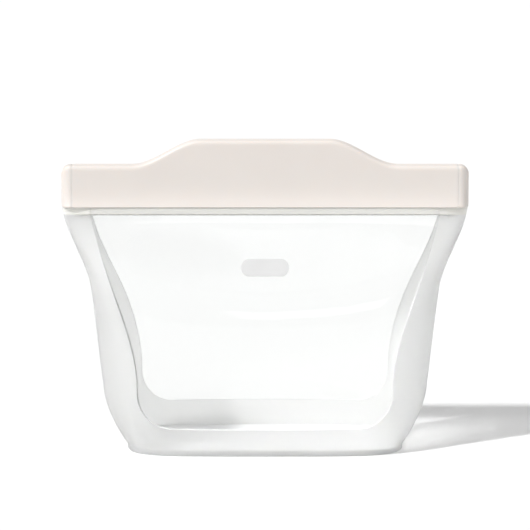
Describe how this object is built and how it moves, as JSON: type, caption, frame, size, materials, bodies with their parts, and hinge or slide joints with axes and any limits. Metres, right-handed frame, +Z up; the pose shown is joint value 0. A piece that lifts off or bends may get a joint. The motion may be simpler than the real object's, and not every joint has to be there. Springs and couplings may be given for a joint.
{
  "type": "reusable silicone bag",
  "caption": "Stand-up silicone storage bag with a flat base, clear front and rear windows, frosted sides and a wide press-to-close rim with raised pull tabs.",
  "frame": {"origin": "on the floor under the middle of the base", "axes": "+X along the closed mouth, to the right as seen from the front; +Y from front to rear; +Z up. The front, with the label patch, faces -Y"},
  "size_m": [0.19, 0.068, 0.145],
  "materials": {
    "rim_silicone": "opaque warm off-white silicone, satin",
    "frosted_silicone": "frosted translucent silicone",
    "clear_silicone": "clear glossy silicone",
    "neck_silicone": "translucent grey-white silicone, satin",
    "seal_silicone": "translucent silicone, smooth",
    "patch_silicone": "finely frosted silicone"
  },
  "bodies": {
    "pouch": {"base_panel": "frosted_silicone", "heel_band": "frosted_silicone", "left_side_wall": "frosted_silicone", "right_side_wall": "frosted_silicone", "left_rim_end": "rim_silicone", "right_rim_end": "rim_silicone"},
    "front_wall": {"front_window": "clear_silicone", "front_neck_band": "neck_silicone", "front_lip": "rim_silicone", "front_seal_strip": "seal_silicone", "upper_seal_bead": "seal_silicone", "lower_seal_bead": "seal_silicone", "label_patch": "patch_silicone"},
    "rear_wall": {"rear_window": "clear_silicone", "rear_neck_band": "neck_silicone", "rear_lip": "rim_silicone", "rear_seal_track": "seal_silicone"}
  },
  "joints": [
    {"name": "front_open", "type": "hinge", "parent": "pouch", "child": "front_wall", "pos_m": [0, -0.03196, 0.01345], "axis": [1, 0, 0], "range_deg": [0, 14], "stiffness_Nm_per_rad": 0.05},
    {"name": "rear_open", "type": "hinge", "parent": "pouch", "child": "rear_wall", "pos_m": [0, 0.03196, 0.01345], "axis": [-1, 0, 0], "range_deg": [0, 14], "stiffness_Nm_per_rad": 0.05}
  ]
}
